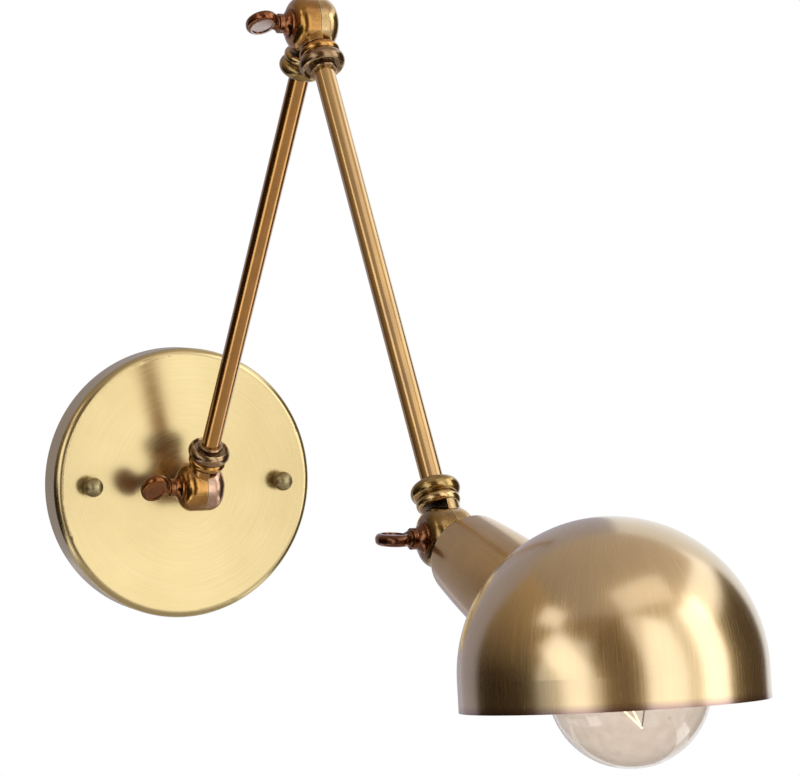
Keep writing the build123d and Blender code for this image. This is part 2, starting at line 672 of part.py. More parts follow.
# Bulb: brass cap, insulator with its contact, and a clear glass globe on a neck
CAP_START = BULB_TIP + BULB_TIP_LENGTH
CAP_END = CAP_START + BULB_CAP_LENGTH
with BuildPart() as bulb_cap:
    turn(
        [
            (BULB_TIP_R + FIT, CAP_START),
            (BULB_CAP_R - BULB_TIP_LENGTH / 2, CAP_START),
            (BULB_CAP_R, CAP_START + BULB_TIP_LENGTH),
            (BULB_CAP_R, CAP_END),
            (BULB_CAP_R - BULB_CAP_WALL, CAP_END),
            (BULB_CAP_R - BULB_CAP_WALL, CAP_START + BULB_TIP_LENGTH + BULB_CAP_WALL),
            (BULB_CAP_R - BULB_TIP_LENGTH / 2, CAP_START + BULB_CAP_WALL),
            (BULB_TIP_R + FIT, CAP_START + BULB_CAP_WALL),
        ],
        SHADE_JOINT,
        HOLDER_DIR,
    )
keep(bulb_cap.part, "bulb_cap")

with BuildPart() as bulb_tip:
    turn(
        [
            (0, BULB_TIP),
            (CONTACT_R, BULB_TIP),
            (BULB_TIP_R, CAP_START),
            (BULB_TIP_R, CAP_START + BULB_TIP_LENGTH),
            (0, CAP_START + BULB_TIP_LENGTH),
        ],
        SHADE_JOINT,
        HOLDER_DIR,
    )
keep(bulb_tip.part, "bulb_tip")

GLASS_START = CAP_END - BULB_NECK_LENGTH
NECK_END = CAP_END + BULB_NECK_LENGTH


def globe(neck_r, globe_r, floor):
    """Solid of revolution of the glass: a neck, a cone tangent to the globe, and the globe."""
    to_centre = BULB_CENTRE - NECK_END
    apart = math.hypot(neck_r, to_centre)
    bearing = math.atan2(neck_r, -to_centre) - math.acos(globe_r / apart)
    touch = (globe_r * math.sin(bearing), BULB_CENTRE + globe_r * math.cos(bearing))
    with BuildSketch(turning_plane(SHADE_JOINT, HOLDER_DIR)) as section:
        with BuildLine():
            Polyline((0, BULB_CENTRE + globe_r), (0, floor), (neck_r, floor), (neck_r, NECK_END), touch)
            ThreePointArc(touch, (globe_r, BULB_CENTRE), (0, BULB_CENTRE + globe_r))
        make_face()
    return section.sketch


with BuildPart() as bulb_glass:
    revolve(globe(BULB_NECK_R, BULB_R, GLASS_START), axis=Axis(SHADE_JOINT, HOLDER_DIR))
    inside = globe(BULB_NECK_R - BULB_GLASS, BULB_R - BULB_GLASS, GLASS_START)
    revolve(inside, axis=Axis(SHADE_JOINT, HOLDER_DIR), mode=Mode.SUBTRACT)
keep(bulb_glass.part, "bulb_glass")

# Glass stem of the bulb: a flare sealed in the neck and a rod up the middle
FILAMENT_NEAR = BULB_CENTRE - FILAMENT_HALF_LENGTH
FILAMENT_FAR = BULB_CENTRE + FILAMENT_HALF_LENGTH
with BuildPart() as bulb_stem:
    turn(
        [
            (0, GLASS_START),
            (BULB_NECK_R - BULB_GLASS - FIT, GLASS_START),
            (BULB_STEM_FLARE_R, GLASS_START + BULB_NECK_LENGTH / 2),
            (BULB_STEM_R, GLASS_START + BULB_STEM_FLARE_LENGTH),
            (BULB_STEM_R, FILAMENT_FAR),
            (0, FILAMENT_FAR),
        ],
        SHADE_JOINT,
        HOLDER_DIR,
    )
keep(bulb_stem.part, "bulb_stem")


def cage_point(step, radius, along):
    """Point of the filament's cage: a step round the bulb's axis at a radius and a distance."""
    angle = math.radians(360 * (step - 0.5) / FILAMENT_LEGS)
    across = X_DIR.cross(HOLDER_DIR)
    return SHADE_JOINT + HOLDER_DIR * along + (X_DIR * math.cos(angle) + across * math.sin(angle)) * radius


def filament_point(step):
    if step % 2:
        return cage_point(step, FILAMENT_FAR_R, FILAMENT_FAR - FILAMENT_DIA)
    return cage_point(step, FILAMENT_NEAR_R, FILAMENT_NEAR)


def wire(start, end, diameter):
    """Straight wire between two points, in the part being built."""
    run = end - start
    rod(start, run.normalized(), 0, run.length, diameter / 2)


# Filament: zigzag wire in a cage about the stem
with BuildPart() as filament:
    for step in range(FILAMENT_LEGS - 1):
        wire(filament_point(step), filament_point(step + 1), FILAMENT_DIA)
        with Locations(filament_point(step + 1)):
            Sphere(FILAMENT_BEND_R)
keep(filament.part, "filament")

# Filament supports: spokes from the stem to each turn of the filament
with BuildPart() as filament_supports:
    for step in range(FILAMENT_LEGS):
        tip = filament_point(step)
        along = (tip - SHADE_JOINT).dot(HOLDER_DIR)
        spoke = (tip - SHADE_JOINT - HOLDER_DIR * along).normalized()
        root = SHADE_JOINT + HOLDER_DIR * along + spoke * (BULB_STEM_R + FIT)
        wire(root, tip - spoke * (FILAMENT_BEND_R + FIT), SUPPORT_DIA)
keep(filament_supports.part, "filament_supports")
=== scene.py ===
# %% [markdown]
# # A swing-arm wall lamp in brass
# The lamp's construction comes from CAD: a wall plate, two arms on split knuckles, a dome shade and
# a bulb. This lesson dresses it. Each step says what a surface is on the real lamp, and how nodes
# give the eye the same thing.

# %% Load the frame
import math

import bpy
from mathutils import Matrix, Vector


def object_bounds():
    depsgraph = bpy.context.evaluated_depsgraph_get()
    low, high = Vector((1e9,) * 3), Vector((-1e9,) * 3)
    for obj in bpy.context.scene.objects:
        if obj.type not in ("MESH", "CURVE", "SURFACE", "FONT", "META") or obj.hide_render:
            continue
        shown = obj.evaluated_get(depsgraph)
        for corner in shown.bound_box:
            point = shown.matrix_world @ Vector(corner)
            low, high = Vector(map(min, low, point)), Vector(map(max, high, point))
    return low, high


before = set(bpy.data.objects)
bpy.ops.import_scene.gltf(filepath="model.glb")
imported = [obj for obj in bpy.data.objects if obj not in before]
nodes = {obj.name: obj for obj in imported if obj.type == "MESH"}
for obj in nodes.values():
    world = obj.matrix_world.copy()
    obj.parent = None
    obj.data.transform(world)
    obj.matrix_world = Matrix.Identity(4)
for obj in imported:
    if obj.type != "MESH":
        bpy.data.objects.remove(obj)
cad_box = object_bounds()
MM = 0.001
box_mm = [round((high - low) / MM) for low, high in zip(*cad_box)]
print("frame:", len(nodes), "CAD nodes, box in mm:", box_mm)

# %% [markdown]
# ## Camera
# The photograph was taken with a long lens, a little to the left of the lamp and slightly from
# above. A camera's place can be found by trial, or solved from points whose real places are known.
# Here it was solved for a picture of 800 by 776 pixels, and the numbers are simply written down.

# %% Camera
AZIMUTH = math.radians(25.0)
LOOK_DOWN = math.radians(2.497)
ROLL = math.radians(0.15)
LENS_MM = 122.08
SENSOR_MM = 36.0
CAMERA_PLACE = (-0.4913, -1.3337, 0.1107)
camera_data = bpy.data.cameras.new("photo_camera")
camera_data.lens = LENS_MM
camera_data.sensor_width = SENSOR_MM
camera = bpy.data.objects.new("photo_camera", camera_data)
bpy.context.scene.collection.objects.link(camera)
bpy.context.scene.camera = camera
forward = Vector((
    math.sin(AZIMUTH) * math.cos(LOOK_DOWN),
    math.cos(AZIMUTH) * math.cos(LOOK_DOWN),
    -math.sin(LOOK_DOWN),
))
level = Vector((math.cos(AZIMUTH), -math.sin(AZIMUTH), 0))
upward = level.cross(forward)
right = level * math.cos(ROLL) + upward * math.sin(ROLL)
up = upward * math.cos(ROLL) - level * math.sin(ROLL)
turned_to_lamp = Matrix((right, up, -forward)).transposed().to_4x4()
camera.matrix_world = Matrix.Translation(CAMERA_PLACE) @ turned_to_lamp
print("camera:", round(camera_data.lens, 1), "mm lens at", [round(c, 3) for c in camera.location])

# %% [markdown]
# ## Colours, nodes and finishes
# Colours are written as sRGB hex, as a picture editor shows them, and one function turns them to
# linear light. A second small function adds a node, sets it and links it, so that each material
# below reads as a list of nodes. Every finish of the lamp has one Principled shader, so a third
# function starts it with the values that are the same all over it, and a fourth puts it on pieces.

# %% Colour and node helpers


def colour(hex_code):
    """Linear RGBA of an sRGB hex value."""
    channels = [int(hex_code[i:i + 2], 16) / 255 for i in (1, 3, 5)]
    linear = [c / 12.92 if c <= 0.04045 else ((c + 0.055) / 1.055) ** 2.4 for c in channels]
    return linear + [1.0]


def add(tree, kind, inputs=None, **settings):
    """Add a node: settings are its properties, inputs are values or sockets to link."""
    made = tree.nodes.new(kind)
    for name, value in settings.items():
        setattr(made, name, value)
    for name, value in (inputs or {}).items():
        if isinstance(value, bpy.types.NodeSocket):
            tree.links.new(value, made.inputs[name])
        else:
            made.inputs[name].default_value = value
    return made


print("hex #808080 is", round(colour("#808080")[0], 3), "in linear light")

# %% Finish helpers


def start_finish(name, values):
    """New material with one Principled shader, and the values that are the same all over it."""
    made = bpy.data.materials.new(name)
    made.use_nodes = True
    shader = made.node_tree.nodes["Principled BSDF"]
    for socket, value in values.items():
        shader.inputs[socket].default_value = value
    return made, made.node_tree, shader


def dress(finish, *names):
    """Give pieces of the CAD a finish."""
    for name in names:
        mesh = nodes[name].data
        mesh.materials.clear()
        mesh.materials.append(finish)
    print("finish:", finish.name, "on", ", ".join(names))


print("nodes to dress:", ", ".join(sorted(nodes)))

# %% [markdown]
# ## Studio
# Polished metal shows its surroundings, so the light is as much a part of brass as its colour.
# The dome works like a convex mirror: each highlight on it tells the direction of a lamp.
# Soft boxes, a grey ceiling and a few dark cards stand in those directions, as a photographer would
# place them. The cards are hidden from the camera, and the background is white.

# %% White background
scene = bpy.context.scene
scene.view_settings.view_transform = "Standard"
world = bpy.data.worlds.new("white_studio")
scene.world = world
world.use_nodes = True
sky = world.node_tree
path = add(sky, "ShaderNodeLightPath").outputs
seen = path["Is Camera Ray"]
for ray in ("Is Glossy Ray", "Is Transmission Ray"):
    seen = add(sky, "ShaderNodeMath", {0: seen, 1: path[ray]}, operation="MAXIMUM").outputs[0]
tone = add(
    sky,
    "ShaderNodeMix",
    {"Factor": seen, "A": colour("#b4b2b0"), "B": colour("#ffffff")},
    data_type="RGBA",
)
sky.links.new(tone.outputs["Result"], sky.nodes["Background"].inputs["Color"])
print("world: white to the camera, in metal and through glass, and a pale grey light")

# %% Floor
FLOOR_DROP = 1.3
FLOOR_HALF_WIDTH = 1.2
FLOOR_FRONT = -1.6
FLOOR_BACK = 0.9
floor_mesh = bpy.data.meshes.new("floor")
floor_mesh.from_pydata(
    [
        (-FLOOR_HALF_WIDTH, FLOOR_FRONT, -FLOOR_DROP),
        (FLOOR_HALF_WIDTH, FLOOR_FRONT, -FLOOR_DROP),
        (FLOOR_HALF_WIDTH, FLOOR_BACK, -FLOOR_DROP),
        (-FLOOR_HALF_WIDTH, FLOOR_BACK, -FLOOR_DROP),
    ],
    [],
    [(0, 1, 2, 3)],
)
floor = bpy.data.objects.new("floor", floor_mesh)
scene.collection.objects.link(floor)
floor_paint = start_finish(
    "pale_floor_paint", {"Base Color": colour("#e9e7e4"), "Roughness": 0.7}
)[0]
floor_mesh.materials.append(floor_paint)
print("floor:", FLOOR_DROP, "m below the plate's centre")

# %% Soft boxes
DOME = Vector((0, -0.4664, -0.0373))


def towards(azimuth, elevation):
    """Direction from the dome, in degrees: azimuth from straight out of the wall to the right."""
    a, e = math.radians(azimuth), math.radians(elevation)
    return Vector((math.sin(a) * math.cos(e), -math.cos(a) * math.cos(e), math.sin(e)))


def facing_dome(azimuths, elevations, distance, lean=0):
    """Place and size of a panel that fills these angles from the dome; a lean tips its top left."""
    middle = towards(sum(azimuths) / 2, sum(elevations) / 2)
    aim = (-middle).to_track_quat("-Z", "Y").to_matrix().to_4x4()
    tip = Matrix.Rotation(math.radians(lean), 4, "Z")
    width, height = (
        2 * distance * math.tan(math.radians(b - a) / 2) for a, b in (azimuths, elevations)
    )
    return Matrix.Translation(DOME + middle * distance) @ aim @ tip, width, height


# Azimuths and elevations in degrees, distance in metres, lean in degrees, and radiance.
SOFT_BOXES = {
    "key_box_right": ((38, 63), (-13, 45), 4.0, 0, 1.7),
    "upper_box_right": ((62, 110), (32, 54), 4.0, 0, 0.8),
    "front_box": ((-6, 24), (-25, 54), 4.0, 13, 1.05),
    "front_top_box": ((-6, 32), (54, 74), 2.2, 0, 0.7),
    "fill_box_left": ((-71, -49), (-18, 38), 4.0, 48, 1.05),
    "strip_box_left": ((-97, -79), (34, 46), 3.2, 0, 1.5),
    "low_box_left": ((-100, -82), (-45, -33), 2.4, 0, 1.3),
    "low_box_right": ((72, 98), (-47, -34), 2.4, 0, 1.0),
}
for name, (azimuths, elevations, distance, lean, radiance) in SOFT_BOXES.items():
    place, width, height = facing_dome(azimuths, elevations, distance, lean)
    panel = bpy.data.lights.new(name, "AREA")
    panel.shape = "RECTANGLE"
    panel.size, panel.size_y = width, height
    panel.energy = radiance * math.pi * width * height
    box = bpy.data.objects.new(name, panel)
    box.matrix_world = place
    scene.collection.objects.link(box)
    print("soft box:", name, f"{width:.2f} by {height:.2f} m, {panel.energy:.0f} W")

# %% Cards
CARD_DISTANCE = 4.6
CEILING_HEIGHT = 2.6
CEILING_WIDTH = 4.4
CEILING_TURN = math.radians(-115)


def hang_card(name, place, width, height, paint, low_tone, high_tone):
    """Card for the lamp alone, which glows in its paint from one tone at its foot to one on top."""
    corners = [(x * width / 2, y * height / 2, 0) for x, y in ((-1, -1), (1, -1), (1, 1), (-1, 1))]
    card_mesh = bpy.data.meshes.new(name)
    card_mesh.from_pydata(corners, [], [(0, 1, 2, 3)])
    card = bpy.data.objects.new(name, card_mesh)
    card.matrix_world = place
    card.visible_camera = False
    card.visible_transmission = False
    card.visible_shadow = False
    scene.collection.objects.link(card)
    tint = bpy.data.materials.new(name)
    tint.use_nodes = True
    tree = tint.node_tree
    tree.nodes.clear()
    across = add(tree, "ShaderNodeTexCoord").outputs["Generated"]
    rise = add(tree, "ShaderNodeSeparateXYZ", {"Vector": across}).outputs["Y"]
    tone = add(
        tree, "ShaderNodeMapRange", {"Value": rise, "To Min": low_tone, "To Max": high_tone}
    ).outputs["Result"]
    glow = add(tree, "ShaderNodeEmission", {"Color": colour(paint), "Strength": tone}).outputs[0]
    add(tree, "ShaderNodeOutputMaterial", {"Surface": glow})
    card_mesh.materials.append(tint)


# Azimuths and elevations in degrees, paint, and the tones at the foot and at the top.
CARDS = {
    "camera_side_card": ((-46, -6), (-35, 60), "#ffd3a6", 0.17, 0.17),
    "right_card": ((64, 118), (-35, 28), "#ffd3a6", 0.09, 0.09),
    "left_low_card": ((-148, -60), (-35, -2), "#ffd3a6", 0.02, 0.04),
    "left_high_card": ((-152, -84), (-2, 54), "#ffdfb6", 0.04, 0.6),
    "left_top_card": ((-98, -44), (30, 58), "#ffdcb8", 0.3, 0.3),
    "back_left_card": ((-180, -147), (-35, 58), "#f6f0ff", 0.45, 0.45),
    "back_card": ((152, 180), (-35, 58), "#f6f0ff", 0.5, 0.5),
}
for name, (azimuths, elevations, paint, low_tone, high_tone) in CARDS.items():
    place, width, height = facing_dome(azimuths, elevations, CARD_DISTANCE)
    hang_card(name, place, width, height, paint, low_tone, high_tone)
overhead = Matrix.Translation(DOME + Vector((0, 0, CEILING_HEIGHT)))
overhead = overhead @ Matrix.Rotation(CEILING_TURN, 4, "Z")
hang_card("ceiling_card", overhead, CEILING_WIDTH, CEILING_WIDTH, "#fff0e4", 0.42, 0.8)
print("cards:", ", ".join(CARDS), "and ceiling_card")

# %% [markdown]
# ## Turned pieces
# Nearly every piece of this lamp was turned, spun or drawn, so its brush marks follow its own axis.
# Object coordinates stay with a piece when an arm swings. A mapping turns them so that the axis is
# Z. From there come a radius, a distance along the axis, a direction round it, and the tangent of
# the brushing. An image texture could carry the marks too, but it would need seams.

# %% Coordinates of a turned piece


def axis_turn(degrees):
    """Rotation that lays Z in the arms' plane, so many degrees above straight out of the wall."""
    return (math.radians(90 - degrees), 0, 0)


def turned(tree, centre, rotation):
    """Sockets of a turned piece: radius, along its axis, unit vector outwards, tangent round it."""
    place = add(tree, "ShaderNodeTexCoord").outputs["Object"]
    local = add(
        tree,
        "ShaderNodeMapping",
        {"Vector": place, "Location": centre, "Rotation": rotation},
        vector_type="TEXTURE",
    ).outputs["Vector"]
    along = add(tree, "ShaderNodeSeparateXYZ", {"Vector": local}).outputs["Z"]
    flat = add(
        tree, "ShaderNodeVectorMath", {0: local, 1: (1, 1, 0)}, operation="MULTIPLY"
    ).outputs["Vector"]
    radius = add(tree, "ShaderNodeVectorMath", {0: flat}, operation="LENGTH").outputs["Value"]
    outward = add(tree, "ShaderNodeVectorMath", {0: flat}, operation="NORMALIZE").outputs["Vector"]
    across = add(
        tree, "ShaderNodeVectorMath", {0: (0, 0, 1), 1: local}, operation="CROSS_PRODUCT"
    ).outputs["Vector"]
    back = add(
        tree, "ShaderNodeMapping", {"Vector": across, "Rotation": rotation}, vector_type="VECTOR"
    ).outputs["Vector"]
    tangent = add(
        tree,
        "ShaderNodeVectorTransform",
        {"Vector": back},
        vector_type="VECTOR",
        convert_from="OBJECT",
        convert_to="WORLD",
    ).outputs["Vector"]
    return {"radius": radius, "along": along, "outward": outward, "tangent": tangent}


print("the plate's axis: Z turned by", [round(math.degrees(a)) for a in axis_turn(0)], "degrees")

# %% Brush marks


def brush_marks(tree, at, girth_mm, round_mm, along_mm):
    """Noise drawn out into marks so long round the axis and along it, on a piece of this radius."""
    per_mark = 1 / (along_mm * MM)
    ring = add(
        tree,
        "ShaderNodeVectorMath",
        {0: at["outward"], "Scale": girth_mm / round_mm},
        operation="SCALE",
    ).outputs["Vector"]
    step = add(
        tree, "ShaderNodeMath", {0: at["radius"], 1: per_mark}, operation="MULTIPLY"
    ).outputs[0]
    height = add(
        tree, "ShaderNodeMath", {0: at["along"], 1: per_mark}, operation="MULTIPLY"
    ).outputs[0]
    lifted = add(tree, "ShaderNodeCombineXYZ", {"Z": step}).outputs["Vector"]
    where = add(
        tree, "ShaderNodeVectorMath", {0: ring, 1: lifted}, operation="ADD"
    ).outputs["Vector"]
    return add(
        tree,
        "ShaderNodeTexNoise",
        {"Vector": where, "W": height, "Scale": 1.0, "Detail": 3.0, "Roughness": 0.6},
        noise_dimensions="4D",
    ).outputs["Fac"]


HAIRLINE_MM = 0.35
HAIRLINE_LENGTH_MM = 22.0
print("hairlines of the shade:", HAIRLINE_MM, "mm apart and", HAIRLINE_LENGTH_MM, "mm long")

# %% [markdown]
# ## How brass ages
# Lacquered brass keeps its colour on the open faces. Where the lacquer is thin, clouds of brown
# oxide form. Dirt and oxide stay in the grooves, and the dark colour laid there is also painted
# shade. Hands and cloths keep the edges bare.
# An ambient occlusion node finds the grooves, and a bevel node finds the edges: its rounded normal
# differs there. One function does this for every metal of the lamp, so each finish below only
# states its own colours and sizes.

# %% Grain, grooves and edges
NOISE_LOW, NOISE_HIGH = 0.3, 0.7  # nearly all of a noise lies between these
GROOVE_STARTS, GROOVE_FULL = 0.8, 0.3  # share of open sky over a point
EDGE_STARTS, EDGE_FULL = 0.995, 0.93  # cosine between the rounded normal and the plain one
EDGE_BARE = 0.8


def speckle(tree, size_mm, detail=3.0):
    """Noise with lumps of this size, in the piece's own coordinates."""
    place = add(tree, "ShaderNodeTexCoord").outputs["Object"]
    return add(
        tree,
        "ShaderNodeTexNoise",
        {"Vector": place, "Scale": 1 / (size_mm * MM), "Detail": detail},
    ).outputs["Fac"]


def grooves(tree, depth_mm):
    """1 in crevices of about this depth, 0 in the open."""
    open_sky = add(
        tree, "ShaderNodeAmbientOcclusion", {"Distance": depth_mm * MM}, samples=8
    ).outputs["AO"]
    return add(
        tree,
        "ShaderNodeMapRange",
        {"Value": open_sky, "From Min": GROOVE_STARTS, "From Max": GROOVE_FULL},
    ).outputs["Result"]


def edges(tree, width_mm):
    """Up to EDGE_BARE on the crest of edges, out to about this width, 0 on faces."""
    rounded = add(tree, "ShaderNodeBevel", {"Radius": width_mm * MM}, samples=6).outputs["Normal"]
    plain = add(tree, "ShaderNodeNewGeometry").outputs["Normal"]
    agree = add(
        tree, "ShaderNodeVectorMath", {0: rounded, 1: plain}, operation="DOT_PRODUCT"
    ).outputs["Value"]
    return add(
        tree,
        "ShaderNodeMapRange",
        {"Value": agree, "From Min": EDGE_STARTS, "From Max": EDGE_FULL, "To Max": EDGE_BARE},
    ).outputs["Result"]


print("edges are bare up to", EDGE_BARE)

# %% Layers of a finish
PATINA_DULLS = 0.2


def follow_grain(tree, shader, grain, tones, rough, relief_mm=0.0, strength=1.0, waves=None):
    """Two tones, two roughnesses and a relief along a grain; waves, if any, carry the relief."""
    share = add(
        tree, "ShaderNodeMapRange", {"Value": grain, "From Min": NOISE_LOW, "From Max": NOISE_HIGH}
    ).outputs["Result"]
    low, high = (colour(tone) for tone in tones)
    tone = add(tree, "ShaderNodeMix", {"Factor": share, "A": low, "B": high}, data_type="RGBA")
    tree.links.new(tone.outputs["Result"], shader.inputs["Base Color"])
    smooth, dull = rough
    shine = add(tree, "ShaderNodeMapRange", {"Value": share, "To Min": smooth, "To Max": dull})
    tree.links.new(shine.outputs["Result"], shader.inputs["Roughness"])
    if relief_mm:
        bump = add(
            tree,
            "ShaderNodeBump",
            {"Height": waves or grain, "Strength": strength, "Distance": relief_mm * MM},
        )
        tree.links.new(bump.outputs["Normal"], shader.inputs["Normal"])
    return share


def lay_over(tree, shader, share, paint):
    """Lay another colour over the base colour, by a share."""
    under = shader.inputs["Base Color"].links[0].from_socket
    layers = {"Factor": share, "A": under, "B": colour(paint)}
    top = add(tree, "ShaderNodeMix", layers, data_type="RGBA")
    tree.links.new(top.outputs["Result"], shader.inputs["Base Color"])


def age_metal(
    tree, shader, marks, tones, patina_and_shade, clouds_mm, clouds,
    crevice_mm, bare, edge_mm, rough, relief_mm,
):
    """Tones, roughness and relief along the marks; oxide in clouds; oxide and painted shade in
    crevices; bare edges.
    """
    follow_grain(tree, shader, marks, tones, rough, relief_mm)
    cloudy = add(
        tree,
        "ShaderNodeMapRange",
        {
            "Value": speckle(tree, clouds_mm),
            "From Min": NOISE_LOW,
            "From Max": NOISE_HIGH,
            "To Max": clouds,
        },
    ).outputs["Result"]
    # Crevices take the dark colour too: oxide, and painted shade where shade falls in them.
    crevice_oxide_and_shade = grooves(tree, crevice_mm)
    dark = add(tree, "ShaderNodeMath", {0: cloudy, 1: crevice_oxide_and_shade}, operation="MAXIMUM").outputs[0]
    lay_over(tree, shader, dark, patina_and_shade)
    lay_over(tree, shader, edges(tree, edge_mm), bare)
    clean = shader.inputs["Roughness"].links[0].from_socket
    dulled = add(
        tree, "ShaderNodeMath", {0: dark, 1: PATINA_DULLS, 2: clean}, operation="MULTIPLY_ADD"
    )
    tree.links.new(dulled.outputs[0], shader.inputs["Roughness"])


print("patina adds up to", PATINA_DULLS, "to a metal's roughness")

# %% [markdown]
# ## Wall plate: circular-brushed brass
# The plate is spun brass sheet, brushed on a lathe and lacquered. Its marks run in circles about
# the centre. The eye gets a soft light that spreads across the marks, and a blurred image of the
# arm. Anisotropy turned by a quarter from the tangent spreads it so. The marks are 0.5 mm apart,
# coarser than real ones, to show.

# %% Plate finish
PLATE_RADIUS_MM = 70.0
plate_brass, tree, shader = start_finish(
    "circular_brushed_brass",
    {
        "Metallic": 1.0,
        "Anisotropic": 0.25,
        "Anisotropic Rotation": 0.25,
        "Coat Weight": 0.2,
        "Coat Roughness": 0.15,
    },
)
at = turned(tree, (0, 0, 0), axis_turn(0))
marks = brush_marks(tree, at, PLATE_RADIUS_MM, round_mm=60.0, along_mm=0.5)
age_metal(
    tree, shader, marks, tones=("#baa777", "#c4b285"), patina_and_shade="#8c6a30", clouds_mm=45, clouds=0.16,
    crevice_mm=5, bare="#e6d3a0", edge_mm=0.6, rough=(0.19, 0.26), relief_mm=0.0006,
)
tree.links.new(at["tangent"], shader.inputs["Tangent"])
dress(plate_brass, "wall_plate")

# %% [markdown]
# ## Ball nuts: dull turned brass
# The two nuts that hold the plate are plain turned brass, without lacquer, so they have gone dull
# and greenish grey. They are small, so a fine speckle does for their turning marks.

# %% Ball nut finish
nut_brass, tree, shader = start_finish("dull_turned_brass", {"Metallic": 1.0})
age_metal(
    tree, shader, speckle(tree, size_mm=0.8), tones=("#a2946a", "#b3a67e"),
    patina_and_shade="#4a3c22", clouds_mm=4, clouds=0.45, crevice_mm=3,
    bare="#cdbf92", edge_mm=0.4, rough=(0.3, 0.4), relief_mm=0.01,
)
dress(nut_brass, "ball_nuts")

# %% [markdown]
# ## Arms: drawn brass tube
# Tube is drawn through a die, so its hairlines run along it, and it shines in long streaks.
# Each arm has its own axis, so the finish is made once for each. The arm at the wall has toned
# browner, and its lacquer shines less. The hairlines are drawn 0.5 mm wide to show.

# %% Arm finishes
ARM_LEAN = 32.8
ELBOW = Vector((0, -0.183556, 0.222752))
TUBE_RADIUS_MM = 4.8
# Rise of the arm's axis in degrees, two tones, and the lacquer's index.
ARM_FINISHES = {
    1: (90 - ARM_LEAN, ("#b27a2c", "#c08a3a"), 1.55),
    2: (ARM_LEAN - 90, ("#b3862e", "#c79c43"), 2.1),
}
for number, (rise, tones, lacquer) in ARM_FINISHES.items():
    tube_brass, tree, shader = start_finish(
        f"drawn_tube_brass_{number}",
        {"Metallic": 1.0, "Coat Weight": 1.0, "Coat Roughness": 0.06, "Coat IOR": lacquer},
    )
    at = turned(tree, ELBOW, axis_turn(rise))
    marks = brush_marks(tree, at, TUBE_RADIUS_MM, round_mm=0.5, along_mm=35.0)
    age_metal(
        tree, shader, marks, tones=tones, patina_and_shade="#5f3c1c", clouds_mm=14, clouds=0.2,
        crevice_mm=5, bare="#e0c48c", edge_mm=0.3, rough=(0.14, 0.22), relief_mm=0.003,
    )
    dress(tube_brass, f"arm{number}_tube")

# %% [markdown]
# ## Knuckles and collars: aged cast brass
# The knuckles were cast and polished, and no two toned quite alike. The halves under the wing
# screws are a warm orange brown, except at the shade, where it is olive. The other halves are
# paler, and rosy at the wall. The collars nearest the wall are the darkest. All of them are brown
# in the grooves, oxide with painted shade over it, and bright on the crests, under a smooth
# lacquer that gives small sharp lights.

# %% Knuckle and collar finishes
# Two tones, the dark colour for oxide and painted shade, and the pieces.
CAST_FINISHES = {
    "orange_cast_brass": (
        ("#ad7a34", "#bd8d46"), "#552b0e", ("base_screw_half", "elbow_screw_half")
    ),
    "olive_cast_brass": (
        ("#94743f", "#a5874f"), "#4a3216", ("shade_screw_half",)
    ),
    "rosy_cast_brass": (
        ("#b89076", "#caa890"), "#5f3c1e", ("base_thread_half",)
    ),
    "pale_cast_brass": (
        ("#bc9c66", "#cdb07c"), "#5f4126", ("elbow_thread_half", "shade_thread_half")
    ),
    "dark_turned_brass": (
        ("#8f704c", "#a58864"), "#36200f", ("arm1_near_collar", "arm2_near_collar")
    ),
    "olive_turned_brass": (
        ("#9f8148", "#b3965c"), "#43290f", ("arm1_far_collar", "arm2_far_collar")
    ),
}
for name, (tones, patina_and_shade, pieces) in CAST_FINISHES.items():
    cast_brass, tree, shader = start_finish(
        name, {"Metallic": 1.0, "Coat Weight": 0.5, "Coat Roughness": 0.07}
    )
    age_metal(
        tree, shader, speckle(tree, size_mm=1.1), tones=tones, patina_and_shade=patina_and_shade, clouds_mm=7,
        clouds=0.5, crevice_mm=4, bare="#e0c48e", edge_mm=0.4, rough=(0.12, 0.2), relief_mm=0.012,
    )
    dress(cast_brass, *pieces)

# %% [markdown]
# ## Wing screws: dark copper bronze
# The wing screws were dipped in a brown bronzing bath and lacquered, so they are dark and glossy,
# and redder on the edges. Each has toned a little differently. The flats of the elbow's and the
# shade's wings are painted a pale pinkish grey: a painted reflection of the bright room seen in
# them. A flat is where the piece's own normal lies along the wing's thin direction, which is
# turned about X from upright by as much as the wing is.

# %% Wing screw finishes
FLAT_STARTS, FLAT_FULL = 0.94, 0.99  # cosine between a face's normal and the thin direction
# Turn of the wing in degrees, two tones, and how strongly a painted reflection covers its flats.
WING_FINISHES = {
    "base": (44.0, ("#834a1a", "#985f28"), 0.0),
    "elbow": (22.0, ("#7e4726", "#955c34"), 0.8),
    "shade": (0.0, ("#6e4026", "#865433"), 0.8),
}
for knuckle, (wing_turn, tones, painted_reflection_share) in WING_FINISHES.items():
    bronze, tree, shader = start_finish(
        f"bronzed_brass_{knuckle}", {"Metallic": 1.0, "Coat Weight": 0.4, "Coat Roughness": 0.05}
    )
    age_metal(
        tree, shader, speckle(tree, size_mm=1.5), tones=tones, patina_and_shade="#33190c", clouds_mm=6,
        clouds=0.5, crevice_mm=3, bare="#c08a54", edge_mm=0.4, rough=(0.11, 0.18), relief_mm=0.02,
    )
    thin_way = (0, math.sin(math.radians(wing_turn)), math.cos(math.radians(wing_turn)))
    own_normal = add(tree, "ShaderNodeTexCoord").outputs["Normal"]
    facing = add(
        tree, "ShaderNodeVectorMath", {0: own_normal, 1: thin_way}, operation="DOT_PRODUCT"
    ).outputs["Value"]
    flatness = add(tree, "ShaderNodeMath", {0: facing}, operation="ABSOLUTE").outputs[0]
    painted_reflection = add(
        tree,
        "ShaderNodeMapRange",
        {"Value": flatness, "From Min": FLAT_STARTS, "From Max": FLAT_FULL, "To Max": painted_reflection_share},
    ).outputs["Result"]
    # A pale pinkish grey on the flats: a painted reflection.
    lay_over(tree, shader, painted_reflection, "#cdbfbd")
    dress(bronze, f"{knuckle}_wing_screw")
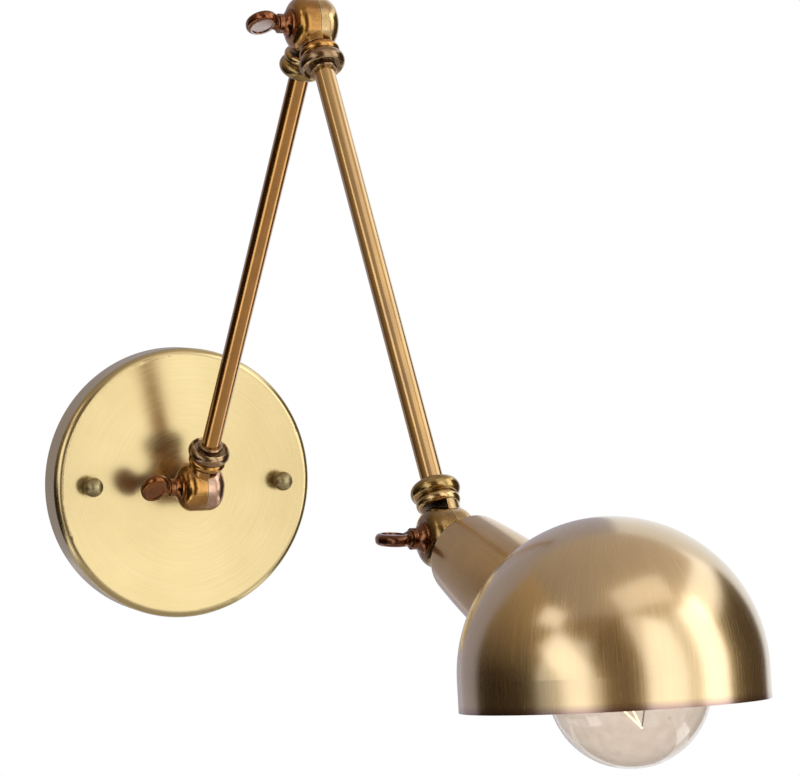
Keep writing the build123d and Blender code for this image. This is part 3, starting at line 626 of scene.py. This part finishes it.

# %% [markdown]
# ## Shade and lamp holder: satin antique brass
# The dome was spun from sheet, toned to an antique colour, brushed from the top to the rim, and
# lacquered. Brushing gives a broad blurred gold light, and the lacquer adds a whiter one over it.
# That is a rough metal under a smoother coat. The hairlines are a little coarser than real ones.
# A red-brown line is painted along the rim. The distance along the axis finds it.

# %% Dome finish
SHADE_TIP = 7.7
SHADE_RADIUS_MM = 57.6
SHADE_SKIRT_MM = 11.9
RIM_LINE_STARTS_MM, RIM_LINE_FULL_MM = 3.2, 0.4  # above the rim
RIM_LINE_SHARE = 0.9
dome_brass, tree, shader = start_finish(
    "satin_antique_brass",
    {
        "Metallic": 1.0,
        "Anisotropic": 0.2,
        "Coat Weight": 1.0,
        "Coat Roughness": 0.18,
        "Coat IOR": 2.4,
    },
)
at = turned(tree, DOME, axis_turn(90 + SHADE_TIP))
marks = brush_marks(tree, at, SHADE_RADIUS_MM, HAIRLINE_MM, HAIRLINE_LENGTH_MM)
# On the dome the edge colour is a dark red-brown, so its rim and hole edges are painted red-brown.
age_metal(
    tree, shader, marks, tones=("#bf9e5e", "#caab6c"), patina_and_shade="#75582f", clouds_mm=30, clouds=0.18,
    crevice_mm=4, bare="#7a4526", edge_mm=1.2, rough=(0.2, 0.27), relief_mm=0.001,
)
rim_line = add(
    tree,
    "ShaderNodeMapRange",
    {
        "Value": at["along"],
        "From Min": (RIM_LINE_STARTS_MM - SHADE_SKIRT_MM) * MM,
        "From Max": (RIM_LINE_FULL_MM - SHADE_SKIRT_MM) * MM,
        "To Max": RIM_LINE_SHARE,
    },
).outputs["Result"]
lay_over(tree, shader, rim_line, "#70381a")
tree.links.new(at["tangent"], shader.inputs["Tangent"])
dress(dome_brass, "dome_shade")

# %% Lamp holder finish
HOLDER_DROP = 15.0
SHADE_JOINT = Vector((0, -0.327112, 0))
CUP_RADIUS_MM = 19.0
cup_brass, tree, shader = start_finish(
    "satin_holder_brass",
    {"Metallic": 1.0, "Anisotropic": 0.2, "Coat Weight": 0.7, "Coat Roughness": 0.13},
)
at = turned(tree, SHADE_JOINT, axis_turn(-HOLDER_DROP))
marks = brush_marks(tree, at, CUP_RADIUS_MM, HAIRLINE_MM, HAIRLINE_LENGTH_MM)
age_metal(
    tree, shader, marks, tones=("#c3994f", "#d0a960"), patina_and_shade="#5e4527", clouds_mm=20, clouds=0.22,
    crevice_mm=4, bare="#e2c896", edge_mm=0.5, rough=(0.18, 0.25), relief_mm=0.002,
)
tree.links.new(at["tangent"], shader.inputs["Tangent"])
dress(cup_brass, "holder_cup", "shade_ring")

# %% [markdown]
# ## Bulb: clear glass and tungsten
# A clear bulb is blown glass about a millimetre thick, with faint waves. Its edge looks dark, since
# it bends the light away. The solid has an inner and an outer face, so the shader only needs the
# glass itself: full transmission, an index of 1.5, and a light warm tint, a painted reflection of
# the brass around it. Layer Weight deepens the tint where the wall is seen at a slant: painted
# shade for the dark room the edge bends in. The filament is a coiled tungsten wire, a thin pale
# line that glows, on stiff grey molybdenum wires.

# %% Glass finish
SLANT_STARTS, SLANT_FULL = 0.6, 0.95
bulb_glass, tree, shader = start_finish(
    "blown_clear_glass", {"Transmission Weight": 1.0, "IOR": 1.5}
)
# The warm tones are a painted reflection of the brass around the bulb.
follow_grain(
    tree, shader, speckle(tree, size_mm=5), tones=("#ebe0d5", "#f4ebe1"), rough=(0.0, 0.03),
    relief_mm=0.15, strength=0.3, waves=speckle(tree, size_mm=14, detail=1.0),
)
# Darker where the wall is seen at a slant: painted shade for the dark room the edge bends in.
slant = add(tree, "ShaderNodeLayerWeight", {"Blend": 0.5}).outputs["Facing"]
painted_slant_shade = add(
    tree, "ShaderNodeMapRange", {"Value": slant, "From Min": SLANT_STARTS, "From Max": SLANT_FULL}
).outputs["Result"]
lay_over(tree, shader, painted_slant_shade, "#d6ccc2")
dress(bulb_glass, "bulb_glass", "bulb_stem")

# %% Filament finishes
tungsten, tree, shader = start_finish(
    "glowing_tungsten", {"Metallic": 1.0, "Emission Strength": 2.2}
)
coils = follow_grain(
    tree, shader, speckle(tree, size_mm=0.3), tones=("#6e665c", "#a39a8c"), rough=(0.3, 0.5)
)
glow = add(
    tree,
    "ShaderNodeMix",
    {"Factor": coils, "A": colour("#ffd9a0"), "B": colour("#fff3dc")},
    data_type="RGBA",
)
tree.links.new(glow.outputs["Result"], shader.inputs["Emission Color"])
dress(tungsten, "filament")

support_wire, tree, shader = start_finish("molybdenum_wire", {"Metallic": 1.0})
age_metal(
    tree, shader, speckle(tree, size_mm=0.5), tones=("#8f8b86", "#b0aca6"),
    patina_and_shade="#4d4a47", clouds_mm=5, clouds=0.4, crevice_mm=1,
    bare="#c9c6c0", edge_mm=0.1, rough=(0.25, 0.4), relief_mm=0.005,
)
dress(support_wire, "filament_supports")

# %% [markdown]
# ## Inside the holder
# The cap of the bulb is nickel-plated brass with a rolled thread, and its tip is lead solder in
# black glass. The socket is white glazed porcelain, and its shell and contact are plain sheet
# brass. A thread is a ridge that climbs once round by its pitch. A triangle wave along the axis,
# shifted by the angle, is that ridge.

# %% Thread and bulb cap finish
CAP_PITCH_MM = 3.62


def thread(tree, at, pitch_mm):
    """Height of a screw thread round the axis: 0 in the root, 0.5 on the crest."""
    turns = add(
        tree, "ShaderNodeMath", {0: at["along"], 1: 1 / (pitch_mm * MM)}, operation="MULTIPLY"
    ).outputs[0]
    side = add(tree, "ShaderNodeSeparateXYZ", {"Vector": at["outward"]}).outputs
    angle = add(
        tree, "ShaderNodeMath", {0: side["Y"], 1: side["X"]}, operation="ARCTAN2"
    ).outputs[0]
    climb = add(
        tree, "ShaderNodeMath", {0: angle, 1: 1 / math.tau, 2: turns}, operation="MULTIPLY_ADD"
    ).outputs[0]
    return add(tree, "ShaderNodeMath", {0: climb, 1: 0.5}, operation="PINGPONG").outputs[0]


# Nickel gives the eye bright grey bands, with painted shade darkening the roots between them.
cap_nickel, tree, shader = start_finish("nickel_plated_thread", {"Metallic": 1.0})
at = turned(tree, SHADE_JOINT, axis_turn(-HOLDER_DROP))
ridges = thread(tree, at, CAP_PITCH_MM)
age_metal(
    tree, shader, ridges, tones=("#8f8a80", "#c9c4b8"), patina_and_shade="#5a5248", clouds_mm=6, clouds=0.3,
    crevice_mm=2, bare="#dedad0", edge_mm=0.3, rough=(0.2, 0.3), relief_mm=0.6,
)
dress(cap_nickel, "bulb_cap")

# %% Bulb tip and socket finishes
# Black glass is nearly even, with a sharp shine that its pores break.
black_glass, tree, shader = start_finish("black_vitrite", {"IOR": 1.52})
follow_grain(
    tree, shader, speckle(tree, size_mm=0.6), tones=("#0d0c0c", "#1d1b1b"), rough=(0.12, 0.35),
    relief_mm=0.05, strength=0.5,
)
dress(black_glass, "bulb_tip")

# Glaze gives a clear light over a milky white, and the recesses are painted darker.
porcelain, tree, shader = start_finish(
    "glazed_porcelain", {"IOR": 1.52, "Coat Weight": 0.5, "Coat Roughness": 0.05}
)
follow_grain(
    tree, shader, speckle(tree, size_mm=3), tones=("#e9e6de", "#f2f0ea"), rough=(0.1, 0.22),
    relief_mm=0.05, strength=0.4,
)
# Recesses painted darker, found by ambient occlusion.
lay_over(tree, shader, grooves(tree, depth_mm=4), "#a89a86")
dress(porcelain, "lamp_socket")

# Sheet brass without lacquer is yellow and half dull.
sheet_brass, tree, shader = start_finish("plain_sheet_brass", {"Metallic": 1.0})
age_metal(
    tree, shader, speckle(tree, size_mm=1.0), tones=("#c9ab68", "#dcc284"),
    patina_and_shade="#7a5a2c", clouds_mm=6, clouds=0.4, crevice_mm=2,
    bare="#efdcaa", edge_mm=0.3, rough=(0.22, 0.34), relief_mm=0.01,
)
dress(sheet_brass, "socket_shell", "socket_contact", "earth_screw")

# %% [markdown]
# ## Behind the plate: zinc-plated steel and fibre
# Strap, studs, nuts and nipple are steel with a bright zinc plating, bluish with a few yellow
# clouds. The studs and the nipple are threaded. The washers in the knuckles' seams are dark red
# vulcanised fibre, which looks dry and shows only a faint shine.

# %% Steel finishes
zinc_steel, tree, shader = start_finish("zinc_plated_steel", {"Metallic": 1.0})
age_metal(
    tree, shader, speckle(tree, size_mm=0.8), tones=("#a9adb1", "#c3c6c8"),
    patina_and_shade="#8c8464", clouds_mm=12, clouds=0.5, crevice_mm=2,
    bare="#d9dbdc", edge_mm=0.3, rough=(0.28, 0.42), relief_mm=0.01,
)
dress(zinc_steel, "mounting_strap", "stud_nuts", "stem_washer", "stem_nut", "holder_nut")

# A point on the axis, the axis's rise in degrees, and the thread's pitch in millimetres.
# The two studs share the plate's axis, so their threads are nearly plain rings.
THREADED = {
    "plate_studs": ((0, 0, 0), 0.0, 0.7),
    "holder_nipple": (SHADE_JOINT, -HOLDER_DROP, 1.0),
}
for name, (centre, rise, pitch_mm) in THREADED.items():
    threaded_zinc, tree, shader = start_finish(f"threaded_zinc_{name}", {"Metallic": 1.0})
    # Each thread is painted darker in its roots than on its crests: painted shade.
    ridges = thread(tree, turned(tree, centre, axis_turn(rise)), pitch_mm)
    age_metal(
        tree, shader, ridges, tones=("#7f8386", "#c3c6c8"), patina_and_shade="#7d7558", clouds_mm=12,
        clouds=0.4, crevice_mm=2, bare="#d9dbdc", edge_mm=0.2, rough=(0.28, 0.4), relief_mm=0.3,
    )
    dress(threaded_zinc, name)

# %% Fibre finish
fibre, tree, shader = start_finish("vulcanised_fibre", {"IOR": 1.5})
follow_grain(
    tree, shader, speckle(tree, size_mm=0.5), tones=("#4a1c14", "#6b2c20"), rough=(0.5, 0.7),
    relief_mm=0.05, strength=0.5,
)
dress(fibre, "base_friction_washer", "elbow_friction_washer", "shade_friction_washer")
